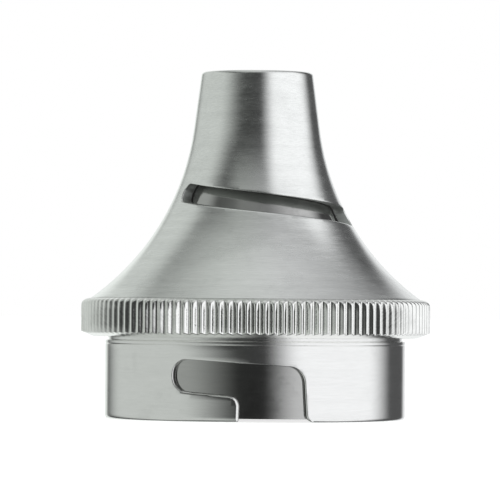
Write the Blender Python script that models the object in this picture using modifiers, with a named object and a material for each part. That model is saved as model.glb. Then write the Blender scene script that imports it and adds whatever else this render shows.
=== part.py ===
"""Speculum adapter of an otoscope: the metal nosepiece that locks onto the instrument's head.

Four pieces share one axis, +Z, with the skirt's rim at z = 0 and the tip upwards:
the nose cone stands in a knurled grip ring, the bayonet skirt's neck is pushed into the
same ring from below, and the viewing tube lines both, its foot against the skirt's web.
"""

import math

import bmesh
import bpy

MM = 0.001

# Nose cone: a straight taper that runs into a flared foot.
TIP_Z = 31.8 * MM
TIP_ROUND = 0.33 * MM
NOSE_TAPER = math.radians(7.5)
NOSE_END_R = 5.78 * MM
NOSE_END_Z = 26.58 * MM
FLARE_RADIUS = 22.8 * MM
FLARE_END_SLOPE = math.radians(56.0)
CONE_WALL = 0.95 * MM
TIP_BORE_R = 4.1 * MM
TIP_BORE_DEPTH = 2.5 * MM
CONE_FOOT_R = 15.1 * MM
CONE_SPIGOT_R = 14.2 * MM
CONE_SPIGOT_BORE_R = 12.2 * MM
CONE_STEPS = 80
FLARE_POINTS = 9

# Slanting slot across the neck, a helix with round ends.
SLOT_HEIGHT = 1.72 * MM
SLOT_MIDDLE_Z = 19.77 * MM
SLOT_DROP_PER_TURN = 5.0 * MM
SLOT_FIRST_ANGLE = math.radians(-58.0)
SLOT_LAST_ANGLE = math.radians(85.0)
SLOT_INNER_R = 5.2 * MM
SLOT_OUTER_R = 11.0 * MM
SLOT_STEPS = 30

# Knurled grip ring.
RING_CREST_R = 16.0 * MM
RING_ROOT_R = 15.66 * MM
RING_UNDERSIDE_Z = 7.5 * MM
RING_CHAMFER = 0.45 * MM
RING_CHAMFER_R = 14.9 * MM
RING_LOWER_BORE_R = 13.55 * MM
RING_SHOULDER_Z = 9.2 * MM
TEETH = 122
TOOTH_CREST_WIDTH = 0.14 * MM

# Bayonet skirt with its J-shaped slots, unrolled as angles and heights.
SKIRT_R = 13.78 * MM
SKIRT_WALL = 0.4 * MM
SKIRT_TOP_Z = 7.19 * MM
SKIRT_TOP_CHAMFER = 0.1 * MM
SKIRT_RIM_ROUND = 0.2 * MM
SKIRT_WEB = 0.6 * MM
SKIRT_NECK_WALL = 1.1 * MM
J_SLOTS = 2
J_ENTRY_LEFT = math.radians(-6.2)
J_ENTRY_RIGHT = math.radians(18.8)
J_RUN_END = math.radians(-26.5)
J_RUN_RADIUS = 1.42 * MM
J_RUN_END_Z = 4.12 * MM
J_RUN_SLOPE = 0.078
J_TONGUE_ROUND = 1.0 * MM
J_CORNER_ROUND = 1.65 * MM

# Viewing tube: narrow in the tip, close behind the wall at both slots.
TUBE_R = 4.5 * MM
TUBE_NARROW_END_Z = 23.6 * MM
TUBE_NECK_TOP_R = 5.9 * MM
TUBE_NECK_TOP_Z = 21.6 * MM
TUBE_NECK_FOOT_R = 7.55 * MM
TUBE_NECK_FOOT_Z = 17.6 * MM
TUBE_SHOULDER_R = 12.3 * MM
TUBE_SHOULDER_Z = 8.9 * MM
TUBE_FOOT_Z = 0.29 * MM
TUBE_WALL = 0.6 * MM
TUBE_BEND_DROP = 0.2 * MM

SEAT_GAP = 0.05 * MM
ROUND_STEPS = 72
ARC_POINTS = 6
SLOT_END_SIDES = 20
WELD = 0.001 * MM
LONGEST_EDGE = 0.8 * MM
CUTTER_HALF_DEPTH = 3.0 * MM

PARTS = "speculum_adapter"
CUTTERS = "cutters"


def clear_scene():
    for thing in list(bpy.data.objects):
        bpy.data.objects.remove(thing, do_unlink=True)


def collection(name):
    made = bpy.data.collections.new(name)
    bpy.context.scene.collection.children.link(made)
    return made


def metal(name, colour, roughness):
    """A plated metal as a Principled BSDF."""
    made = bpy.data.materials.new(name)
    made.use_nodes = True
    shader = made.node_tree.nodes["Principled BSDF"]
    shader.inputs["Base Color"].default_value = (*colour, 1.0)
    shader.inputs["Roughness"].default_value = roughness
    shader.inputs["Metallic"].default_value = 1.0
    return made


def add_object(name, mesh, home):
    made = bpy.data.objects.new(name, mesh)
    home.objects.link(made)
    return made


def arc(centre, radius, first, last, points):
    """Points along an arc, as (radius, height) pairs, angles from the first axis."""
    steps = [first + (last - first) * i / (points - 1) for i in range(points)]
    return [(centre[0] + radius * math.cos(a), centre[1] + radius * math.sin(a)) for a in steps]


def flare_centre():
    """Centre of the flare's arc, tangent to the straight nose."""
    return (
        NOSE_END_R + FLARE_RADIUS * math.cos(NOSE_TAPER),
        NOSE_END_Z + FLARE_RADIUS * math.sin(NOSE_TAPER),
    )


def flare_height(radius):
    """Height of the flare's outer face at a radius."""
    centre = flare_centre()
    return centre[1] - math.sqrt(FLARE_RADIUS**2 - (centre[0] - radius) ** 2)


def flare(first_slope, last_slope, offset, points):
    """The flare's arc from one slope to another, measured from the vertical."""
    return arc(
        flare_centre(), FLARE_RADIUS + offset, math.pi + first_slope, math.pi + last_slope, points
    )


def flare_slope(radius, offset=0.0):
    return math.acos((flare_centre()[0] - radius) / (FLARE_RADIUS + offset))


def turned(name, outline, steps, home, material):
    """A closed (radius, height) outline, its outer side running down, turned about Z."""
    mesh = bpy.data.meshes.new(name)
    count = len(outline)
    edges = [(i, (i + 1) % count) for i in range(count)]
    mesh.from_pydata([(r, 0.0, z) for r, z in outline], edges, [])
    made = add_object(name, mesh, home)
    screw = made.modifiers.new("turned", "SCREW")
    screw.steps = steps
    screw.render_steps = steps
    screw.use_merge_vertices = True
    screw.merge_threshold = WELD
    mesh.materials.append(material)
    return made


def cut(target, cutter, operation="DIFFERENCE"):
    boolean = target.modifiers.new(cutter.name, "BOOLEAN")
    boolean.operation = operation
    boolean.object = cutter


def as_cutter(thing):
    thing.hide_render = True
    thing.display_type = "WIRE"
    return thing


def tip_outline():
    """The outer side at the tip: a small round between the end face and the taper."""
    side_r = NOSE_END_R - (TIP_Z - NOSE_END_Z) * math.tan(NOSE_TAPER)
    setback = TIP_ROUND * math.tan((math.pi / 2 - NOSE_TAPER) / 2)
    centre = (side_r - setback, TIP_Z - TIP_ROUND)
    return arc(centre, TIP_ROUND, math.pi / 2, NOSE_TAPER, 4)


def nose_cone(home, cutters):
    seat_r = TUBE_R + SEAT_GAP
    seat_z = TIP_Z - TIP_BORE_DEPTH
    inner_end_r = NOSE_END_R - CONE_WALL / math.cos(NOSE_TAPER)
    seat_foot_z = NOSE_END_Z + (inner_end_r - seat_r) / math.tan(NOSE_TAPER)
    foot_z = flare_height(CONE_FOOT_R)
    spigot_z = RING_SHOULDER_Z + SEAT_GAP
    outer = tip_outline() + flare(NOSE_TAPER, flare_slope(CONE_FOOT_R), 0.0, FLARE_POINTS)
    foot = [(CONE_SPIGOT_R, foot_z), (CONE_SPIGOT_R, spigot_z), (CONE_SPIGOT_BORE_R, spigot_z)]
    inner_slope = flare_slope(CONE_SPIGOT_BORE_R, CONE_WALL)
    inner = flare(inner_slope, NOSE_TAPER, CONE_WALL, FLARE_POINTS - 2)
    bore = [(seat_r, seat_foot_z), (seat_r, seat_z), (TIP_BORE_R, seat_z), (TIP_BORE_R, TIP_Z)]
    material = metal("satin_nickel", (0.71, 0.72, 0.70), 0.28)
    cone = turned("nose_cone", outer + foot + inner + bore, CONE_STEPS, home, material)
    cut(cone, neck_slot(cutters))
    for name, angle in (("slot_high_end", SLOT_FIRST_ANGLE), ("slot_low_end", SLOT_LAST_ANGLE)):
        cut(cone, slot_end(name, angle, cutters))
    return cone


def slot_height(angle):
    return SLOT_MIDDLE_Z - SLOT_DROP_PER_TURN * angle / math.tau


def neck_slot(cutters):
    """A radial rectangle swept along the slot's helix; angle 0 faces -Y."""
    form = bmesh.new()
    low = slot_height(SLOT_FIRST_ANGLE) - SLOT_HEIGHT / 2
    corners = (
        (SLOT_INNER_R, low),
        (SLOT_OUTER_R, low),
        (SLOT_OUTER_R, low + SLOT_HEIGHT),
        (SLOT_INNER_R, low + SLOT_HEIGHT),
    )
    side = math.sin(SLOT_FIRST_ANGLE)
    front = -math.cos(SLOT_FIRST_ANGLE)
    face = form.faces.new([form.verts.new((r * side, r * front, z)) for r, z in corners])
    sweep = SLOT_LAST_ANGLE - SLOT_FIRST_ANGLE
    drop = slot_height(SLOT_LAST_ANGLE) - slot_height(SLOT_FIRST_ANGLE)
    bmesh.ops.spin(
        form,
        geom=[face, *face.edges, *face.verts],
        axis=(0.0, 0.0, 1.0),
        dvec=(0.0, 0.0, drop / SLOT_STEPS),
        angle=sweep,
        steps=SLOT_STEPS,
    )
    bmesh.ops.holes_fill(form, edges=form.edges)
    bmesh.ops.recalc_face_normals(form, faces=form.faces)
    mesh = bpy.data.meshes.new("neck_slot")
    form.to_mesh(mesh)
    form.free()
    return as_cutter(add_object("neck_slot", mesh, cutters))


def slot_end(name, angle, cutters):
    """The round end of the slot: a cylinder pointing outwards at the slot's height."""
    middle = (SLOT_INNER_R + SLOT_OUTER_R) / 2
    bpy.ops.mesh.primitive_cylinder_add(
        vertices=SLOT_END_SIDES,
        radius=SLOT_HEIGHT / 2,
        depth=SLOT_OUTER_R - SLOT_INNER_R,
        location=(middle * math.sin(angle), -middle * math.cos(angle), slot_height(angle)),
        rotation=(math.pi / 2, 0.0, angle),
    )
    end = bpy.context.object
    end.name = name
    for owner in end.users_collection:
        owner.objects.unlink(end)
    cutters.objects.link(end)
    return as_cutter(end)


def knurled_grip_ring(home, cutters):
    """A turned blank that keeps only what lies inside a toothed outline."""
    top_z = flare_height(CONE_FOOT_R) - SEAT_GAP
    centre = flare_centre()
    top_r = centre[0] - math.sqrt(FLARE_RADIUS**2 - (centre[1] - top_z) ** 2)
    upper = flare(flare_slope(top_r), FLARE_END_SLOPE, 0.0, 4)
    last_r, last_z = upper[-1]
    crest_z = last_z - (RING_CREST_R - last_r) / math.tan(FLARE_END_SLOPE)
    bore_r = CONE_SPIGOT_R + SEAT_GAP
    outline = upper + [
        (RING_CREST_R, crest_z),
        (RING_CREST_R, RING_UNDERSIDE_Z + RING_CHAMFER),
        (RING_CHAMFER_R, RING_UNDERSIDE_Z),
        (RING_LOWER_BORE_R, RING_UNDERSIDE_Z),
        (RING_LOWER_BORE_R, RING_SHOULDER_Z),
        (bore_r, RING_SHOULDER_Z),
        (bore_r, top_z),
    ]
    material = metal("knurled_nickel", (0.69, 0.70, 0.68), 0.3)
    ring = turned("knurled_grip_ring", outline, TEETH, home, material)
    ring.rotation_euler.z = -math.pi / 2
    cut(ring, tooth_form(cutters), "INTERSECT")
    return ring


def tooth_form(cutters):
    """A flat toothed outline, thicker than the ring: straight V grooves, a crest facing -Y."""
    beyond = 0.05 * MM
    pitch = math.tau / TEETH
    crest_half = TOOTH_CREST_WIDTH / 2 / RING_CREST_R
    flank = pitch / 2 - crest_half
    tip_half = crest_half - flank * beyond / (RING_CREST_R - RING_ROOT_R)
    points = []
    for tooth in range(TEETH):
        angle = tooth * pitch - math.pi / 2
        points.append((RING_CREST_R + beyond, angle - tip_half))
        points.append((RING_CREST_R + beyond, angle + tip_half))
        points.append((RING_ROOT_R, angle + pitch / 2))
    curve = bpy.data.curves.new("tooth_form", "CURVE")
    curve.dimensions = "2D"
    curve.fill_mode = "BOTH"
    curve.extrude = CUTTER_HALF_DEPTH
    spline = curve.splines.new("POLY")
    spline.points.add(len(points) - 1)
    for point, (r, angle) in zip(spline.points, points):
        point.co = (r * math.cos(angle), r * math.sin(angle), 0.0, 1.0)
    spline.use_cyclic_u = True
    form = curve_as_mesh(curve, "tooth_form", cutters)
    form.location.z = RING_SHOULDER_Z
    return as_cutter(form)


def curve_as_mesh(curve, name, home):
    """A filled curve made into a closed mesh object, so that it can cut."""
    guide = add_object(name + "_curve", curve, home)
    bpy.context.view_layer.update()
    graph = bpy.context.evaluated_depsgraph_get()
    mesh = bpy.data.meshes.new_from_object(guide.evaluated_get(graph))
    bpy.data.objects.remove(guide)
    form = bmesh.new()
    form.from_mesh(mesh)
    bmesh.ops.remove_doubles(form, verts=form.verts, dist=WELD)
    bmesh.ops.recalc_face_normals(form, faces=form.faces)
    form.to_mesh(mesh)
    form.free()
    return add_object(name, mesh, home)


def bayonet_skirt(home, cutters):
    inner_r = SKIRT_R - SKIRT_WALL
    neck_r = RING_LOWER_BORE_R - SEAT_GAP
    neck_bore_r = neck_r - SKIRT_NECK_WALL
    neck_top_z = RING_SHOULDER_Z - SEAT_GAP
    web_z = SKIRT_TOP_Z - SKIRT_WEB
    rim = arc((SKIRT_R - SKIRT_RIM_ROUND, SKIRT_RIM_ROUND), SKIRT_RIM_ROUND, 0.0, -math.pi / 2, 4)
    outline = [
        (neck_r, neck_top_z),
        (neck_r, SKIRT_TOP_Z),
        (SKIRT_R - SKIRT_TOP_CHAMFER, SKIRT_TOP_Z),
        (SKIRT_R, SKIRT_TOP_Z - SKIRT_TOP_CHAMFER),
        *rim,
        (inner_r, 0.0),
        (inner_r, web_z),
        (neck_bore_r, web_z),
        (neck_bore_r, neck_top_z),
    ]
    material = metal("bright_nickel", (0.75, 0.75, 0.73), 0.2)
    skirt = turned("bayonet_skirt", outline, ROUND_STEPS, home, material)
    first = j_slot(cutters)
    cut(skirt, first)
    for number in range(1, J_SLOTS):
        copy = add_object(f"j_slot_{number + 1}", first.data, cutters)
        copy.rotation_euler.z = math.tau * number / J_SLOTS
        cut(skirt, as_cutter(copy))
    return skirt


def j_slot_outline():
    """The slot drawn flat, as (arc length, height): in at the rim, up, then left along the run."""
    left = J_ENTRY_LEFT * SKIRT_R
    right = J_ENTRY_RIGHT * SKIRT_R
    end = J_RUN_END * SKIRT_R
    tilt = math.atan(J_RUN_SLOPE)
    below = -1.0 * MM

    def upper(s):
        return J_RUN_END_Z + J_RUN_RADIUS / math.cos(tilt) - J_RUN_SLOPE * (s - end)

    def lower(s):
        return J_RUN_END_Z - J_RUN_RADIUS / math.cos(tilt) - J_RUN_SLOPE * (s - end)

    top_right = upper(right)
    corner = (right - J_CORNER_ROUND, top_right - J_CORNER_ROUND + J_RUN_SLOPE * J_CORNER_ROUND)
    tongue_top = lower(left)
    tongue = (left - J_TONGUE_ROUND, tongue_top - J_TONGUE_ROUND + J_RUN_SLOPE * J_TONGUE_ROUND)
    run_end = arc(
        (end, J_RUN_END_Z), J_RUN_RADIUS, math.pi / 2 - tilt, 3 * math.pi / 2 - tilt, 2 * ARC_POINTS
    )
    return [
        (left, below),
        (right, below),
        *arc(corner, J_CORNER_ROUND, 0.0, math.pi / 2 - tilt, ARC_POINTS),
        *run_end,
        *arc(tongue, J_TONGUE_ROUND, math.pi / 2 - tilt, 0.0, ARC_POINTS),
    ]


def j_slot(cutters):
    """The flat outline, made thick and rolled round the skirt's axis."""
    curve = bpy.data.curves.new("j_slot", "CURVE")
    curve.dimensions = "2D"
    curve.fill_mode = "BOTH"
    curve.extrude = CUTTER_HALF_DEPTH
    outline = divided(j_slot_outline())
    spline = curve.splines.new("POLY")
    spline.points.add(len(outline) - 1)
    for point, (s, z) in zip(spline.points, outline):
        point.co = (s, z, 0.0, 1.0)
    spline.use_cyclic_u = True
    slot = curve_as_mesh(curve, "j_slot", cutters)
    for vertex in slot.data.vertices:
        angle = vertex.co.x / SKIRT_R
        reach = SKIRT_R + vertex.co.z
        vertex.co = (reach * math.sin(angle), -reach * math.cos(angle), vertex.co.y)
    form = bmesh.new()
    form.from_mesh(slot.data)
    bmesh.ops.recalc_face_normals(form, faces=form.faces)
    form.to_mesh(slot.data)
    form.free()
    return as_cutter(slot)


def divided(outline):
    """The closed outline with its long sides divided, so that they can bend."""
    points = []
    for start, stop in zip(outline, outline[1:] + outline[:1]):
        length = math.dist(start, stop)
        pieces = max(1, math.ceil(length / LONGEST_EDGE))
        for i in range(pieces):
            share = i / pieces
            points.append(tuple(a + (b - a) * share for a, b in zip(start, stop)))
    return points


def viewing_tube(home):
    top_z = TIP_Z - TIP_BORE_DEPTH - SEAT_GAP
    foot_r = SKIRT_R - SKIRT_WALL - SEAT_GAP
    foot_top_z = SKIRT_TOP_Z - SKIRT_WEB - SEAT_GAP
    outline = [
        (TUBE_R - TUBE_WALL, top_z),
        (TUBE_R, top_z),
        (TUBE_R, TUBE_NARROW_END_Z),
        (TUBE_NECK_TOP_R, TUBE_NECK_TOP_Z),
        (TUBE_NECK_FOOT_R, TUBE_NECK_FOOT_Z),
        (TUBE_SHOULDER_R, TUBE_SHOULDER_Z),
        (TUBE_SHOULDER_R, foot_top_z),
        (foot_r, foot_top_z),
        (foot_r, TUBE_FOOT_Z),
        (foot_r - TUBE_WALL, TUBE_FOOT_Z),
        (foot_r - TUBE_WALL, foot_top_z - TUBE_WALL),
        (TUBE_SHOULDER_R - TUBE_WALL, foot_top_z - TUBE_WALL),
        (TUBE_SHOULDER_R - TUBE_WALL, TUBE_SHOULDER_Z - TUBE_BEND_DROP),
        (TUBE_NECK_FOOT_R - TUBE_WALL, TUBE_NECK_FOOT_Z - TUBE_BEND_DROP),
        (TUBE_NECK_TOP_R - TUBE_WALL, TUBE_NECK_TOP_Z - TUBE_BEND_DROP),
        (TUBE_R - TUBE_WALL, TUBE_NARROW_END_Z - TUBE_BEND_DROP),
    ]
    material = metal("dark_nickel", (0.55, 0.55, 0.53), 0.25)
    return turned("viewing_tube", outline, ROUND_STEPS, home, material)


def smooth(parts):
    for part in parts:
        part.data.shade_smooth()
        part.data.set_sharp_from_angle(angle=math.radians(30.0))


def main():
    clear_scene()
    home = collection(PARTS)
    cutters = collection(CUTTERS)
    parts = [
        nose_cone(home, cutters),
        knurled_grip_ring(home, cutters),
        bayonet_skirt(home, cutters),
        viewing_tube(home),
    ]
    smooth(parts)


main()
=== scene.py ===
"""Looks of the otoscope speculum adapter: fine turned-metal meshes, materials, soft studio light."""

import math

import bmesh
import bpy
from mathutils import Matrix, Vector


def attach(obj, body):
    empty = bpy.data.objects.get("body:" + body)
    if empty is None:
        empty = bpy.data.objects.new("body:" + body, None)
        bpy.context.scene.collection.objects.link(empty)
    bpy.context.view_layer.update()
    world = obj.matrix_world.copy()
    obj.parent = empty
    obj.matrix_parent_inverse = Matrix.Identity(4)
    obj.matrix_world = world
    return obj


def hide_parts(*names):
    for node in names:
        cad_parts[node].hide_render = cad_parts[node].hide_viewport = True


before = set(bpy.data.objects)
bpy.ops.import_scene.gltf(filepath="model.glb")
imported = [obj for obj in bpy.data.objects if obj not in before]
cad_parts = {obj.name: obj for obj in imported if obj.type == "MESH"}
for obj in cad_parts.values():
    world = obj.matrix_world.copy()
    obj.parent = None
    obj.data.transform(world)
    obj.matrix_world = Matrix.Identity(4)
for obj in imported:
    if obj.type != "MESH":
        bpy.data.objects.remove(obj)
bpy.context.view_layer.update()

MM = 0.001

# ---------------------------------------------------------------- camera

CAMERA_DISTANCE = 413 * MM
CAMERA_HEIGHT = 10.47 * MM
CAMERA_SIDE = -0.56 * MM
AIM_HEIGHT = 15.5 * MM
FIELD = 45.93 * MM
ROLL = math.radians(0.45)
SENSOR = 36.0


def add_camera():
    data = bpy.data.cameras.new("camera")
    data.sensor_width = SENSOR
    data.lens = SENSOR * CAMERA_DISTANCE / FIELD
    data.clip_start = 0.01
    data.clip_end = 20.0
    camera = bpy.data.objects.new("camera", data)
    bpy.context.scene.collection.objects.link(camera)
    pitch = math.pi / 2 + math.atan2(AIM_HEIGHT - CAMERA_HEIGHT, CAMERA_DISTANCE)
    place = Matrix.Translation((CAMERA_SIDE, -CAMERA_DISTANCE, CAMERA_HEIGHT))
    camera.matrix_world = place @ Matrix.Rotation(pitch, 4, "X") @ Matrix.Rotation(ROLL, 4, "Z")
    bpy.context.scene.camera = camera


# ---------------------------------------------------------------- node helpers


class Nodes:
    """A short way to write a node tree."""

    def __init__(self, tree):
        self.tree = tree
        tree.nodes.clear()

    def add(self, kind, inputs=None, **settings):
        node = self.tree.nodes.new(kind)
        for name, value in settings.items():
            setattr(node, name, value)
        for name, value in (inputs or {}).items():
            self.put(node.inputs[name], value)
        return node

    def put(self, socket, value):
        if isinstance(value, bpy.types.NodeSocket):
            self.tree.links.new(value, socket)
        else:
            socket.default_value = value

    def math(self, operation, *values, clamp=False):
        node = self.add("ShaderNodeMath", operation=operation, use_clamp=clamp)
        for socket, value in zip(node.inputs, values):
            self.put(socket, value)
        return node.outputs[0]

    def ramp(self, value, low, high, to_low=0.0, to_high=1.0):
        """A smooth step from one value to another."""
        node = self.add("ShaderNodeMapRange", interpolation_type="SMOOTHSTEP")
        for socket, number in zip(node.inputs, (value, low, high, to_low, to_high)):
            self.put(socket, number)
        return node.outputs[0]


# ---------------------------------------------------------------- studio light

# Each soft panel: azimuth from and to, elevation from and to (degrees; azimuth 0 is the camera's
# side, positive to its right), softness of its left side, right side and top, lean of its sides
# (azimuth lost per degree of elevation, and per squared degree), and brightness.
PANELS = {
    "right_softbox": (20, 114, -60, 52, 34, 36, 18, 0.0, 0.0, 1.04),
    "left_panel": (-146, -33, -60, 47, 40, 58, 22, 0.87, 0.0076, 0.60),
    "front_overhead": (-48, 60, 33, 75, 40, 40, 16, 0.0, 0.0, 0.36),
    "left_rear": (-170, -120, 5, 50, 10, 10, 20, 0.0, 0.0, 0.25),
    "right_rear": (112, 165, -60, 60, 10, 10, 20, 0.0, 0.0, 0.09),
}
OVERHEAD = 0.64
OVERHEAD_TO_REAR = 0.15
OVERHEAD_TO_RIGHT = 0.05
OVERHEAD_RISE = (20.0, 84.0)
SIDEWAYS_RISE = (20.0, 50.0)
BACKDROP = 0.92
BACKDROP_SIDE = (150.0, 164.0)
BACKDROP_TOP = (10.0, 50.0)
BACKDROP_ABOVE = 0.45
ROOM = 0.045
TINT_REACH = 0.4
LEFT_TINT = (0.955, 1.0, 0.965, 1.0)
RIGHT_TINT = (0.975, 0.985, 1.0, 1.0)


def add_world():
    world = bpy.data.worlds.new("studio")
    bpy.context.scene.world = world
    world.use_nodes = True
    nodes = Nodes(world.node_tree)
    way = nodes.add("ShaderNodeTexCoord").outputs["Generated"]
    x, y, z = nodes.add("ShaderNodeSeparateXYZ", {"Vector": way}).outputs
    to_degrees = 180 / math.pi
    front = nodes.math("MULTIPLY", y, -1.0)
    azimuth = nodes.math("MULTIPLY", nodes.math("ARCTAN2", x, front), to_degrees)
    elevation = nodes.math("MULTIPLY", nodes.math("ARCSINE", z), to_degrees)
    squared = nodes.math("MULTIPLY", elevation, elevation)
    sideways = nodes.math("MULTIPLY", x, OVERHEAD_TO_RIGHT)
    sideways = nodes.math("MULTIPLY_ADD", y, OVERHEAD_TO_REAR, sideways)
    sideways = nodes.math("MULTIPLY", sideways, nodes.ramp(elevation, *SIDEWAYS_RISE))
    total = nodes.math("ADD", sideways, nodes.ramp(elevation, *OVERHEAD_RISE, 0.0, OVERHEAD))
    behind = nodes.ramp(nodes.math("ABSOLUTE", azimuth), *BACKDROP_SIDE, 0.0, BACKDROP)
    lower = nodes.ramp(elevation, *BACKDROP_TOP, 1.0, BACKDROP_ABOVE)
    behind = nodes.math("MULTIPLY", behind, lower)
    total = nodes.math("MAXIMUM", total, behind)
    for panel in PANELS.values():
        left, right, low, high, soft_left, soft_right, soft_top, lean, curve, level = panel
        leant = nodes.math("MULTIPLY_ADD", elevation, lean, azimuth)
        leant = nodes.math("MULTIPLY_ADD", squared, curve, leant)
        leant = nodes.math("WRAP", leant, 180.0, -180.0)
        light = nodes.math(
            "MULTIPLY",
            nodes.ramp(leant, left - soft_left / 2, left + soft_left / 2),
            nodes.ramp(leant, right - soft_right / 2, right + soft_right / 2, level, 0.0),
        )
        upright = nodes.math(
            "MULTIPLY",
            nodes.ramp(elevation, low - soft_top / 2, low + soft_top / 2),
            nodes.ramp(elevation, high - soft_top / 2, high + soft_top / 2, 1.0, 0.0),
        )
        total = nodes.math("MAXIMUM", total, nodes.math("MULTIPLY", light, upright))
    total = nodes.math("MAXIMUM", total, ROOM)
    tint = nodes.add("ShaderNodeMix", data_type="RGBA")
    nodes.put(tint.inputs[0], nodes.ramp(x, -TINT_REACH, TINT_REACH))
    nodes.put(tint.inputs[6], LEFT_TINT)
    nodes.put(tint.inputs[7], RIGHT_TINT)
    studio = nodes.add("ShaderNodeBackground", {"Color": tint.outputs[2], "Strength": total})
    white = nodes.add("ShaderNodeBackground", {"Color": (1.0, 1.0, 1.0, 1.0), "Strength": 1.0})
    seen = nodes.add("ShaderNodeLightPath").outputs["Is Camera Ray"]
    mix = nodes.add("ShaderNodeMixShader", {0: seen})
    nodes.put(mix.inputs[1], studio.outputs[0])
    nodes.put(mix.inputs[2], white.outputs[0])
    out = nodes.add("ShaderNodeOutputWorld")
    nodes.put(out.inputs["Surface"], mix.outputs[0])


def add_floor():
    bpy.ops.mesh.primitive_plane_add(size=6.0)
    floor = bpy.context.object
    floor.name = "floor"
    floor.visible_glossy = False
    material = bpy.data.materials.new("pale_floor")
    material.use_nodes = True
    nodes = Nodes(material.node_tree)
    shader = nodes.add("ShaderNodeBsdfPrincipled")
    shader.inputs["Base Color"].default_value = (0.9, 0.9, 0.9, 1.0)
    shader.inputs["Roughness"].default_value = 1.0
    shader.inputs["Specular IOR Level"].default_value = 0.0
    shader.inputs["Emission Color"].default_value = (1.0, 1.0, 1.0, 1.0)
    shader.inputs["Emission Strength"].default_value = 0.75
    out = nodes.add("ShaderNodeOutputMaterial")
    nodes.put(out.inputs["Surface"], shader.outputs[0])
    floor.data.materials.append(material)


# ---------------------------------------------------------------- materials

# The turned lines' noise is read round a small circle, so that it meets itself at the back.
LINE_REACH = 1.2 * MM
BAND_SCALE = 1400.0
PATCH_SCALE = 260.0
GRAIN_SCALE = 5200.0
GRAIN_SHARE = 0.25
MILLED_SCALE = 2200.0
MILLED_DEPTH = 0.02 * MM


def turned_metal(
    name, colour, roughness, anisotropy, line_depth, line_scale, wear, streaks, blotch
):
    """Metal turned on a lathe: fine rings, uneven polish, fine grit and dull patches."""
    material = bpy.data.materials.new(name)
    material.use_nodes = True
    nodes = Nodes(material.node_tree)
    place = nodes.add("ShaderNodeTexCoord").outputs["Object"]
    x, y, z = nodes.add("ShaderNodeSeparateXYZ", {"Vector": place}).outputs
    square = nodes.math("MULTIPLY_ADD", y, y, nodes.math("MULTIPLY", x, x))
    reach = nodes.math("SQRT", square)
    round_it = {
        "X": nodes.math("MULTIPLY", nodes.math("DIVIDE", x, reach), LINE_REACH),
        "Y": nodes.math("MULTIPLY", nodes.math("DIVIDE", y, reach), LINE_REACH),
        "Z": nodes.math("SUBTRACT", z, reach),
    }
    unrolled = nodes.add("ShaderNodeCombineXYZ", round_it).outputs[0]
    rings = nodes.add(
        "ShaderNodeTexNoise",
        {"Vector": unrolled, "Scale": line_scale, "Detail": 3.0, "Roughness": 0.7},
    ).outputs[0]
    bands = nodes.add(
        "ShaderNodeTexNoise", {"Vector": unrolled, "Scale": BAND_SCALE, "Detail": 2.0}
    ).outputs[0]
    patches = nodes.add(
        "ShaderNodeTexNoise",
        {"Vector": place, "Scale": PATCH_SCALE, "Detail": 4.0, "Roughness": 0.65},
    ).outputs[0]
    grain = nodes.add(
        "ShaderNodeTexNoise",
        {"Vector": place, "Scale": GRAIN_SCALE, "Detail": 2.0},
    ).outputs[0]
    uneven = nodes.math("MULTIPLY_ADD", nodes.math("SUBTRACT", patches, 0.5), wear, roughness)
    uneven = nodes.math("MULTIPLY_ADD", nodes.math("SUBTRACT", rings, 0.5), wear * 0.8, uneven)
    uneven = nodes.math("MULTIPLY_ADD", nodes.math("SUBTRACT", bands, 0.5), wear * 0.5, uneven)
    dull = nodes.ramp(patches, 0.52, 0.72, 0.0, blotch)
    shade = nodes.math("MULTIPLY_ADD", nodes.math("SUBTRACT", rings, 0.5), streaks, 1.0)
    shade = nodes.math("MULTIPLY_ADD", nodes.math("SUBTRACT", bands, 0.5), streaks * 0.6, shade)
    shade = nodes.math("SUBTRACT", shade, dull)
    tint = nodes.add("ShaderNodeVectorMath", {0: colour}, operation="SCALE")
    nodes.put(tint.inputs["Scale"], shade)
    relief = nodes.math("MULTIPLY_ADD", grain, GRAIN_SHARE, rings)
    bump = nodes.add("ShaderNodeBump", {"Strength": 1.0, "Distance": line_depth, "Height": relief})
    shader = nodes.add("ShaderNodeBsdfPrincipled")
    nodes.put(shader.inputs["Base Color"], tint.outputs[0])
    shader.inputs["Metallic"].default_value = 1.0
    nodes.put(shader.inputs["Roughness"], uneven)
    nodes.put(shader.inputs["Normal"], bump.outputs[0])
    shader.inputs["Anisotropic"].default_value = anisotropy
    shader.inputs["Anisotropic Rotation"].default_value = 0.25
    tangent = nodes.add("ShaderNodeTangent", direction_type="RADIAL", axis="Z")
    nodes.put(shader.inputs["Tangent"], tangent.outputs[0])
    out = nodes.add("ShaderNodeOutputMaterial")
    nodes.put(out.inputs["Surface"], shader.outputs[0])
    return material


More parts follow.
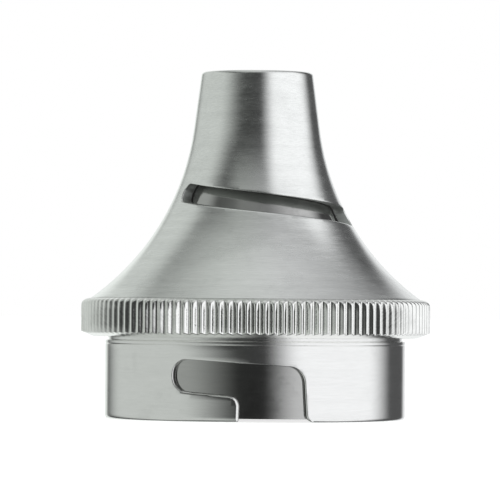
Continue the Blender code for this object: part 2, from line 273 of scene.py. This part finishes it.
def milled_inside_painted_glow(name, colour, roughness, painted_glow):
    """The dull inner face of the cone and the slot's walls, with faint painted light: an emission
    standing in for light that reaches into the hollow.
    """
    material = bpy.data.materials.new(name)
    material.use_nodes = True
    nodes = Nodes(material.node_tree)
    place = nodes.add("ShaderNodeTexCoord").outputs["Object"]
    cloud = nodes.add(
        "ShaderNodeTexNoise", {"Vector": place, "Scale": MILLED_SCALE, "Detail": 4.0}
    ).outputs[0]
    shader = nodes.add("ShaderNodeBsdfPrincipled")
    shader.inputs["Base Color"].default_value = (*colour, 1.0)
    shader.inputs["Metallic"].default_value = 1.0
    # painted light: a faint white emission on the inner face and slot walls, in place of light
    # reaching into the hollow
    shader.inputs["Emission Color"].default_value = (1.0, 1.0, 1.0, 1.0)
    shader.inputs["Emission Strength"].default_value = painted_glow
    nodes.put(shader.inputs["Roughness"], nodes.math("MULTIPLY_ADD", cloud, 0.2, roughness))
    bump = nodes.add("ShaderNodeBump", {"Strength": 0.5, "Distance": MILLED_DEPTH, "Height": cloud})
    nodes.put(shader.inputs["Normal"], bump.outputs[0])
    out = nodes.add("ShaderNodeOutputMaterial")
    nodes.put(out.inputs["Surface"], shader.outputs[0])
    return material


# ---------------------------------------------------------------- shapes shared with the CAD

TIP_Z = 31.8 * MM
TIP_ROUND = 0.33 * MM
NOSE_TAPER = math.radians(7.5)
NOSE_END_R = 5.78 * MM
NOSE_END_Z = 26.58 * MM
FLARE_RADIUS = 22.8 * MM
FLARE_CENTRE = (
    NOSE_END_R + FLARE_RADIUS * math.cos(NOSE_TAPER),
    NOSE_END_Z + FLARE_RADIUS * math.sin(NOSE_TAPER),
)
CONE_WALL = 0.95 * MM
TIP_BORE_R = 4.1 * MM
TIP_BORE_Z = 29.3 * MM
TUBE_SEAT_R = 4.55 * MM
CONE_FOOT_R = 15.1 * MM
CONE_SPIGOT_R = 14.2 * MM
CONE_SPIGOT_BORE_R = 12.2 * MM
CONE_SPIGOT_Z = 9.25 * MM
SLOT_BAND = (15.5 * MM, 24.5 * MM)

RING_CREST_R = 16.0 * MM
RING_ROOT_R = 15.66 * MM
RING_BOTTOM = 7.5 * MM
RING_CHAMFER = 0.45 * MM
RING_CHAMFER_R = 14.9 * MM
RING_BORE_R = 13.55 * MM
RING_TOP_BORE_R = 14.25 * MM
RING_SHOULDER_Z = 9.2 * MM
RING_TOP_Z = 10.97 * MM
TEETH = 122

SKIRT_R = 13.78 * MM
SKIRT_WALL = 0.4 * MM
SKIRT_TOP_Z = 7.19 * MM
SKIRT_TOP_CHAMFER = 0.1 * MM
NECK_R = 13.5 * MM
NECK_BORE_R = 12.4 * MM
NECK_TOP_Z = 9.15 * MM
SKIRT_WEB_Z = 6.59 * MM

TUBE_R = 4.5 * MM
TUBE_TOP_Z = 29.25 * MM
TUBE_NARROW_END_Z = 23.6 * MM
TUBE_NECK_TOP_R = 5.9 * MM
TUBE_NECK_TOP_Z = 21.6 * MM
TUBE_NECK_FOOT_R = 7.55 * MM
TUBE_NECK_FOOT_Z = 17.6 * MM
TUBE_SHOULDER_R = 12.3 * MM
TUBE_SHOULDER_Z = 8.9 * MM
TUBE_FOOT_R = 13.33 * MM
TUBE_FOOT_Z = 0.29 * MM
TUBE_FOOT_TOP_Z = 6.54 * MM
TUBE_WALL = 0.6 * MM
TUBE_BEND_DROP = 0.2 * MM

COLUMNS = 240
WELD = 0.0005 * MM


def around(angle, radius, height):
    """A point at an angle from the camera's side, positive to the right."""
    return Vector((radius * math.sin(angle), -radius * math.cos(angle), height))


def arc(centre, radius, first, last, steps):
    """Points of an arc as pairs, angles from the first axis."""
    turn = (last - first) / steps
    angles = [first + turn * i for i in range(steps + 1)]
    return [(centre[0] + radius * math.cos(a), centre[1] + radius * math.sin(a)) for a in angles]


def nose_side(height):
    """Radius and slope of the cone's outer side at a height."""
    if height > NOSE_END_Z:
        return NOSE_END_R - (height - NOSE_END_Z) * math.tan(NOSE_TAPER), NOSE_TAPER
    slope = math.asin((FLARE_CENTRE[1] - height) / FLARE_RADIUS)
    return FLARE_CENTRE[0] - FLARE_RADIUS * math.cos(slope), slope


def flare_height(radius, wall=0.0):
    """Height of the flare, or of its inner face, at a radius."""
    reach = FLARE_RADIUS + wall
    return FLARE_CENTRE[1] - math.sqrt(reach**2 - (FLARE_CENTRE[0] - radius) ** 2)


def side_points(top, bottom, steps):
    """The cone's outer side from one height to another."""
    heights = [top + (bottom - top) * i / steps for i in range(steps + 1)]
    return [(nose_side(height)[0], height) for height in heights]


def softened(outline, size, closed=True):
    """The outline with each corner cut back twice, for a small round edge."""
    points = []
    count = len(outline)
    for i, here in enumerate(outline):
        if not closed and i in (0, count - 1):
            points.append(here)
            continue
        before = Vector(outline[i - 1])
        after = Vector(outline[(i + 1) % count])
        here = Vector(here)
        into = (before - here).normalized()
        out = (after - here).normalized()
        if into.angle(out) > math.radians(150):
            points.append(tuple(here))
            continue
        reach = min(size, 0.4 * (before - here).length, 0.4 * (after - here).length)
        start = here + into * reach
        end = here + out * reach
        middle = (start + end + here * 2) / 4
        points += [tuple(start), tuple(middle), tuple(end)]
    return points


# ---------------------------------------------------------------- mesh builders


def strip(form, profiles, closed):
    """Faces through a ring of profiles, one for each column; each is a list of points."""
    columns = [[form.verts.new(point) for point in profile] for profile in profiles]
    for left, right in zip(columns, columns[1:] + columns[:1]):
        count = len(left)
        for i in range(count if closed else count - 1):
            k = (i + 1) % count
            form.faces.new((left[i], left[k], right[k], right[i]))


def turn(form, outline, closed, first=0.0, columns=COLUMNS):
    """An outline of (radius, height) pairs turned about the axis."""
    angles = [first + math.tau * i / columns for i in range(columns)]
    strip(form, [[around(a, r, z) for r, z in outline] for a in angles], closed)


def rounded(corners):
    """A closed outline from corners (x, y, radius), each corner an arc."""
    points = []
    count = len(corners)
    for i, (x, y, radius) in enumerate(corners):
        here = Vector((x, y))
        into = (Vector(corners[i - 1][:2]) - here).normalized()
        out = (Vector(corners[(i + 1) % count][:2]) - here).normalized()
        if not radius:
            points.append(here)
            continue
        half = into.angle(out) / 2
        centre = here + (into + out).normalized() * radius / math.sin(half)
        start = here + into * radius / math.tan(half) - centre
        end = here + out * radius / math.tan(half) - centre
        sweep = start.angle_signed(end)
        steps = max(3, math.ceil(abs(sweep) * radius / (0.12 * MM)))
        for k in range(steps + 1):
            points.append(centre + Matrix.Rotation(-sweep * k / steps, 2) @ start)
    return points


def offset_loop(outline, offsets):
    """The outline moved to its left by an amount for each point."""
    moved = []
    for i, here in enumerate(outline):
        before = (here - outline[i - 1]).normalized()
        after = (outline[(i + 1) % len(outline)] - here).normalized()
        left = Vector((-before.y - after.y, before.x + after.x))
        left /= 1 + before.dot(after)
        moved.append(here + left * offsets[i])
    return moved


def slice_plate(plate, axis, value, clear_above=False, clear_below=False):
    direction = [0.0, 0.0, 0.0]
    direction[axis] = 1.0
    spot = [0.0, 0.0, 0.0]
    spot[axis] = value
    bmesh.ops.bisect_plane(
        plate,
        geom=[*plate.verts, *plate.edges, *plate.faces],
        dist=1e-9,
        plane_co=spot,
        plane_no=direction,
        clear_outer=clear_above,
        clear_inner=clear_below,
    )


def pierced_plate(loops, wall, window, columns, row_height):
    """A flat plate of (x, y, depth), its outlines' edges rounded, cut into a grid.

    A loop is (points with the plate on their left, outer edge radius for each point). The
    plate ends openly at the window (left, right, bottom, top), where its neighbours are welded.
    """
    plate = bmesh.new()
    left, right, bottom, top = window
    margin = 1.0 * MM
    inner_round = 0.04 * MM
    faces = {0.0: [], wall: []}
    frame_corners = [
        (left - margin, bottom - margin),
        (right + margin, bottom - margin),
        (right + margin, top + margin),
        (left - margin, top + margin),
    ]
    if all(max(p.y for p in points) < top for points, _ in loops):
        for depth, edges in faces.items():
            verts = [plate.verts.new((x, y, depth)) for x, y in frame_corners]
            edges += [plate.edges.new((a, b)) for a, b in zip(verts, verts[1:] + verts[:1])]
    for points, rounds in loops:
        rings = []
        for step in range(4):
            angle = math.pi / 2 * step / 3
            moved = offset_loop(points, [r * (1 - math.sin(angle)) for r in rounds])
            depths = [r * (1 - math.cos(angle)) for r in rounds]
            rings.append([plate.verts.new((p.x, p.y, d)) for p, d in zip(moved, depths)])
        rings.append([plate.verts.new((p.x, p.y, wall - inner_round)) for p in points])
        inner = offset_loop(points, [inner_round] * len(points))
        rings.append([plate.verts.new((p.x, p.y, wall)) for p in inner])
        for outer_ring, inner_ring in zip(rings, rings[1:]):
            for i in range(len(points)):
                k = (i + 1) % len(points)
                plate.faces.new((outer_ring[i], outer_ring[k], inner_ring[k], inner_ring[i]))
        for ring, edges in ((rings[0], faces[0.0]), (rings[-1], faces[wall])):
            for a, b in zip(ring, ring[1:] + ring[:1]):
                edges.append(plate.edges.get((a, b)))
    for edges in faces.values():
        bmesh.ops.triangle_fill(plate, use_beauty=True, use_dissolve=False, edges=edges)
    for i in range(columns + 1):
        slice_plate(plate, 0, left + (right - left) * i / columns)
    rows = round((top - bottom) / row_height)
    for i in range(1, rows):
        slice_plate(plate, 1, bottom + (top - bottom) * i / rows)
    slice_plate(plate, 0, left, clear_below=True)
    slice_plate(plate, 0, right, clear_above=True)
    slice_plate(plate, 1, bottom, clear_below=True)
    slice_plate(plate, 1, top, clear_above=True)
    drop_diagonals(plate)
    return plate


def drop_diagonals(plate):
    """Merges the fill's triangles back into the grid's cells."""
    tiny = 1e-8
    found = []
    for edge in plate.edges:
        if len(edge.link_faces) != 2:
            continue
        depths = [v.co.z for face in edge.link_faces for v in face.verts]
        a, b = (v.co for v in edge.verts)
        slanting = abs(a.x - b.x) > tiny and abs(a.y - b.y) > tiny
        if slanting and max(depths) - min(depths) < tiny:
            found.append(edge)
    bmesh.ops.dissolve_edges(plate, edges=found, use_verts=True)


def wrap_plate(form, plate, place):
    """Adds the plate to a form, each point put where place says."""
    copies = {v: form.verts.new(place(*v.co)) for v in plate.verts}
    for face in plate.faces:
        form.faces.new([copies[v] for v in face.verts])
    plate.free()


def piece(name, form, node, material, inner_material=None):
    """Closes the form into a mesh object that stands for a CAD node."""
    bmesh.ops.remove_doubles(form, verts=form.verts, dist=WELD)
    bmesh.ops.recalc_face_normals(form, faces=form.faces)
    # faces set back behind the outer side get the inner material, and with it its painted light (a
    # faint emission)
    if inner_material:
        for face in form.faces:
            middle = face.calc_center_median()
            radius, slope = nose_side(middle.z)
            depth = (radius - middle.xy.length) * math.cos(slope)
            face.material_index = int(depth > SLOT_EDGE and middle.z < TUBE_TOP_Z)
    mesh = bpy.data.meshes.new(name)
    form.to_mesh(mesh)
    form.free()
    mesh.shade_smooth()
    mesh.set_sharp_from_angle(angle=math.radians(38))
    mesh.materials.append(material)
    if inner_material:
        mesh.materials.append(inner_material)
    made = bpy.data.objects.new(name, mesh)
    bpy.context.scene.collection.objects.link(made)
    even = made.modifiers.new("even_normals", "WEIGHTED_NORMAL")
    even.keep_sharp = True
    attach(made, "root")
    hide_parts(node)
    return made


# ---------------------------------------------------------------- nose cone

SLOT_SCALE = 7.7 * MM
SLOT_HALF = 0.86 * MM
SLOT_MIDDLE_Z = 19.77 * MM
SLOT_DROP = 5.0 * MM / math.tau
SLOT_ENDS = (math.radians(-64.7), math.radians(91.0))
SLOT_EDGE = 0.10 * MM


def neck_slot():
    """The slot's outline with the metal on its left, as (angle times scale, height)."""
    corners = []
    for angle, side in (
        (SLOT_ENDS[0], 1),
        (SLOT_ENDS[1], 1),
        (SLOT_ENDS[1], -1),
        (SLOT_ENDS[0], -1),
    ):
        height = SLOT_MIDDLE_Z - SLOT_DROP * angle + side * SLOT_HALF
        corners.append((angle * SLOT_SCALE, height, SLOT_HALF * 0.97))
    return rounded(corners)


def place_on_cone(x, height, depth):
    """Straight in towards the axis, so that the slot's walls are level."""
    reach = FLARE_RADIUS + depth
    radius = FLARE_CENTRE[0] - math.sqrt(reach**2 - (FLARE_CENTRE[1] - height) ** 2)
    return around(x / SLOT_SCALE, radius, height)


def inner_side(first_slope, last_slope):
    """The cone's inner face between two slopes."""
    return arc(
        FLARE_CENTRE, FLARE_RADIUS + CONE_WALL, math.pi + first_slope, math.pi + last_slope, 10
    )


def inner_slope(height):
    return math.asin((FLARE_CENTRE[1] - height) / (FLARE_RADIUS + CONE_WALL))


def nose_cone(material, inner_material):
    form = bmesh.new()
    low, high = SLOT_BAND
    outline = neck_slot()
    window = (-math.pi * SLOT_SCALE, math.pi * SLOT_SCALE, low, high)
    plate = pierced_plate(
        [(outline, [SLOT_EDGE] * len(outline))], CONE_WALL, window, COLUMNS, 0.3 * MM
    )
    wrap_plate(form, plate, place_on_cone)
    tip_side = nose_side(TIP_Z)[0]
    tip_centre = (tip_side - TIP_ROUND * math.tan((math.pi / 2 - NOSE_TAPER) / 2), TIP_Z - TIP_ROUND)
    tip = arc(tip_centre, TIP_ROUND, NOSE_TAPER, math.pi / 2, 6)
    seat_foot = NOSE_END_Z + (
        NOSE_END_R - CONE_WALL / math.cos(NOSE_TAPER) - TUBE_SEAT_R
    ) / math.tan(NOSE_TAPER)
    bore = softened(
        [
            tip[-1],
            (TIP_BORE_R, TIP_Z),
            (TIP_BORE_R, TIP_BORE_Z),
            (TUBE_SEAT_R, TIP_BORE_Z),
            (TUBE_SEAT_R, seat_foot),
        ],
        0.1 * MM,
        closed=False,
    )
    upper = side_points(high, NOSE_END_Z, 10) + tip + bore[1:]
    upper += inner_side(NOSE_TAPER, inner_slope(high))
    turn(form, upper, False, -math.pi)
    foot_z = flare_height(CONE_FOOT_R)
    foot = softened(
        [
            side_points(low, foot_z, 24)[-2],
            (CONE_FOOT_R, foot_z),
            (CONE_SPIGOT_R, foot_z),
            (CONE_SPIGOT_R, CONE_SPIGOT_Z),
            (CONE_SPIGOT_BORE_R, CONE_SPIGOT_Z),
            (CONE_SPIGOT_BORE_R, flare_height(CONE_SPIGOT_BORE_R, CONE_WALL)),
        ],
        0.02 * MM,
        closed=False,
    )
    inner_start = math.acos((FLARE_CENTRE[0] - CONE_SPIGOT_BORE_R) / (FLARE_RADIUS + CONE_WALL))
    inner = inner_side(inner_start, inner_slope(low))
    lower = side_points(low, foot_z, 24)[:-2] + foot + inner[1:]
    turn(form, lower, False, -math.pi)
    return piece(
        "nose_cone_turned", form, "nose_cone", material, inner_material
    )


# ---------------------------------------------------------------- knurled grip ring

NOTCH_START_R = 15.12 * MM
NOTCH_DEPTH = 0.1 * MM
SHOULDER_FOOT_Z = 10.38 * MM
SHOULDER_RISE = 0.63 * MM
SHOULDER_STEPS = 7
RING_EDGE = 0.05 * MM
CHAMFER_EDGE_IN = 0.012 * MM
CHAMFER_EDGE_UP = 0.008 * MM
CREST_SHARE = 0.17
ROOT_SHARE = 0.10
# Where each tooth has its profiles, as shares of the pitch from one crest to the next.
TOOTH_SHARES = (0.0, 0.075, 0.10, 0.27, 0.44, 0.5, 0.56, 0.73, 0.90, 0.925)


def tooth_radius(share):
    """Radius of the knurl at a share of its pitch, crest at 0, with small crest and root flats."""
    away = abs((share + 0.5) % 1.0 - 0.5) * 2
    fall = min(max((away - CREST_SHARE) / (1 - CREST_SHARE - ROOT_SHARE), 0.0), 1.0)
    return RING_CREST_R - (RING_CREST_R - RING_ROOT_R) * fall


def ring_profile(radius):
    """The ring's outline where the knurl leaves it this radius."""
    start_r = FLARE_CENTRE[0] - math.sqrt(
        FLARE_RADIUS**2 - (FLARE_CENTRE[1] - RING_TOP_Z) ** 2
    )

    def chamfer_z(r):
        share = (r - RING_CHAMFER_R) / (RING_CREST_R - RING_CHAMFER_R)
        return RING_BOTTOM + RING_CHAMFER * share

    def notched_z(r):
        """A round shoulder over the flare, with the groove running out over it."""
        if r <= NOTCH_START_R:
            return flare_height(r)
        share = min((r - NOTCH_START_R) / (RING_CREST_R - NOTCH_START_R), 1.0)
        shoulder = SHOULDER_FOOT_Z + SHOULDER_RISE * math.sqrt(1 - share**2)
        depth = NOTCH_DEPTH * (RING_CREST_R - radius) / (RING_CREST_R - RING_ROOT_R)
        return shoulder - depth * math.sqrt(share)

    edge = RING_EDGE
    top = [start_r] + [
        NOTCH_START_R + (radius - NOTCH_START_R) * math.sin(math.pi / 2 * i / SHOULDER_STEPS)
        for i in range(SHOULDER_STEPS)
    ]
    low = [radius - edge + (RING_CHAMFER_R - radius + edge) * i / 3 for i in range(4)]
    upper_z = notched_z(radius)
    lower_z = chamfer_z(radius)
    outline = [(r, notched_z(r)) for r in top]
    outline += [
        (radius, upper_z - edge + (lower_z - upper_z + 2 * edge) * i / 4) for i in range(5)
    ]
    outline.append((radius - CHAMFER_EDGE_IN, lower_z + CHAMFER_EDGE_UP))
    outline += [(r, chamfer_z(r)) for r in low]
    outline += [
        (RING_BORE_R + edge, RING_BOTTOM),
        (RING_BORE_R, RING_BOTTOM + edge),
        (RING_BORE_R, RING_SHOULDER_Z),
        (RING_TOP_BORE_R, RING_SHOULDER_Z),
        (RING_TOP_BORE_R, RING_TOP_Z),
    ]
    return outline


def knurled_ring(material):
    form = bmesh.new()
    profiles = []
    for tooth in range(TEETH):
        for share in TOOTH_SHARES:
            angle = (tooth + share) * math.tau / TEETH
            profiles.append([around(angle, r, z) for r, z in ring_profile(tooth_radius(share))])
    strip(form, profiles, True)
    return piece("grip_ring_knurled", form, "knurled_grip_ring", material)


# ---------------------------------------------------------------- bayonet skirt

J_SLOTS = 2
RIM_ROUND = 0.32 * MM
J_EDGE = 0.11 * MM
TONGUE_EDGE = 0.26 * MM
PLATE_DROP = 0.3 * MM
TURNED_LINE_Z = 6.86 * MM
TURNED_LINE = 0.045 * MM
TONGUE_TOP_Z = 2.8 * MM
TONGUE_RIGHT = math.radians(-5.5)
# Corners of a J-slot as (angle in degrees, height in mm, corner radius in mm), from the left
# foot of its entry, over the tongue, round the end of the run and back down on the right.
J_CORNERS = (
    (-6.3, 0.0, 0.2),
    (-6.0, 2.32, 1.0),
    (-32.6, 2.80, 1.38),
    (-32.4, 5.64, 1.38),
    (18.4, 4.90, 1.6),
    (19.7, 0.0, 0.8),
)


def skirt_outline(first):
    """The unrolled skirt's lower edge with its J-slots, metal on the left, closed above."""
    corners = [(first * SKIRT_R - 2 * MM, 0.0, 0.0)]
    for number in range(J_SLOTS):
        turned_by = math.tau * number / J_SLOTS
        for degrees, height, radius in J_CORNERS:
            x = (math.radians(degrees) + turned_by) * SKIRT_R
            corners.append((x, height * MM, radius * MM))
    far = first * SKIRT_R + math.tau * SKIRT_R + 2 * MM
    corners += [(far, 0.0, 0.0), (far, 12 * MM, 0.0), (first * SKIRT_R - 2 * MM, 12 * MM, 0.0)]
    return rounded(corners)


def edge_round(point):
    """How far the skirt's outer edge is rounded: most at the rim, then on the tongue."""
    if point.y < 0.02 * MM:
        return RIM_ROUND
    turned = (point.x / SKIRT_R + math.pi / 2) % (math.tau / J_SLOTS) - math.pi / 2
    if turned < TONGUE_RIGHT and point.y < TONGUE_TOP_Z:
        return TONGUE_EDGE
    return J_EDGE


def place_on_skirt(x, height, depth):
    return around(x / SKIRT_R, SKIRT_R - depth, height)


def bayonet_skirt(material):
    form = bmesh.new()
    first = -math.pi / 2
    outline = skirt_outline(first)
    rounds = [edge_round(point) for point in outline]
    top = SKIRT_WEB_Z - PLATE_DROP
    window = (first * SKIRT_R, (first + math.tau) * SKIRT_R, -1 * MM, top)
    plate = pierced_plate([(outline, rounds)], SKIRT_WALL, window, COLUMNS, 0.5 * MM)
    wrap_plate(form, plate, place_on_skirt)
    inner_r = SKIRT_R - SKIRT_WALL
    upper = softened(
        [
            (SKIRT_R, top),
            (SKIRT_R, TURNED_LINE_Z - TURNED_LINE),
            (SKIRT_R - TURNED_LINE, TURNED_LINE_Z),
            (SKIRT_R, TURNED_LINE_Z + TURNED_LINE),
            (SKIRT_R, SKIRT_TOP_Z),
            (NECK_R, SKIRT_TOP_Z),
            (NECK_R, NECK_TOP_Z),
            (NECK_BORE_R, NECK_TOP_Z),
            (NECK_BORE_R, SKIRT_WEB_Z),
            (inner_r, SKIRT_WEB_Z),
            (inner_r, top),
        ],
        SKIRT_TOP_CHAMFER,
        closed=False,
    )
    turn(form, upper, False, first)
    return piece("bayonet_skirt_turned", form, "bayonet_skirt", material)


# ---------------------------------------------------------------- viewing tube


def viewing_tube(material):
    form = bmesh.new()
    outline = softened(
        [
            (TUBE_R - TUBE_WALL, TUBE_TOP_Z),
            (TUBE_R, TUBE_TOP_Z),
            (TUBE_R, TUBE_NARROW_END_Z),
            (TUBE_NECK_TOP_R, TUBE_NECK_TOP_Z),
            (TUBE_NECK_FOOT_R, TUBE_NECK_FOOT_Z),
            (TUBE_SHOULDER_R, TUBE_SHOULDER_Z),
            (TUBE_SHOULDER_R, TUBE_FOOT_TOP_Z),
            (TUBE_FOOT_R, TUBE_FOOT_TOP_Z),
            (TUBE_FOOT_R, TUBE_FOOT_Z),
            (TUBE_FOOT_R - TUBE_WALL, TUBE_FOOT_Z),
            (TUBE_FOOT_R - TUBE_WALL, TUBE_FOOT_TOP_Z - TUBE_WALL),
            (TUBE_SHOULDER_R - TUBE_WALL, TUBE_FOOT_TOP_Z - TUBE_WALL),
            (TUBE_SHOULDER_R - TUBE_WALL, TUBE_SHOULDER_Z - TUBE_BEND_DROP),
            (TUBE_NECK_FOOT_R - TUBE_WALL, TUBE_NECK_FOOT_Z - TUBE_BEND_DROP),
            (TUBE_NECK_TOP_R - TUBE_WALL, TUBE_NECK_TOP_Z - TUBE_BEND_DROP),
            (TUBE_R - TUBE_WALL, TUBE_NARROW_END_Z - TUBE_BEND_DROP),
        ],
        0.08 * MM,
    )
    turn(form, outline, True)
    return piece("viewing_tube_turned", form, "viewing_tube", material)


def main():
    bpy.context.scene.view_settings.view_transform = "Standard"
    add_camera()
    add_world()
    add_floor()
    satin = turned_metal(
        "satin_turned", (0.895, 0.905, 0.89), 0.24, 0.6, 0.0015 * MM, 9000.0, 0.16, 0.34, 0.06
    )
    knurled = turned_metal(
        "knurled_bright", (0.95, 0.955, 0.935), 0.13, 0.0, 0.010 * MM, 6000.0, 0.14, 0.25, 0.15
    )
    bright = turned_metal(
        "bright_turned", (0.87, 0.87, 0.86), 0.17, 0.5, 0.0010 * MM, 7000.0, 0.10, 0.14, 0.06
    )
    dark = turned_metal(
        "dark_drawn", (0.48, 0.48, 0.47), 0.14, 0.3, 0.0008 * MM, 4000.0, 0.10, 0.15, 0.20
    )
    # the cone's inner face and slot walls carry faint painted light: the last value is its emission
    # strength
    nose_cone(satin, milled_inside_painted_glow("milled_plating_painted_glow", (0.42, 0.44, 0.42), 0.42, 0.015))
    knurled_ring(knurled)
    bayonet_skirt(bright)
    viewing_tube(dark)


main()
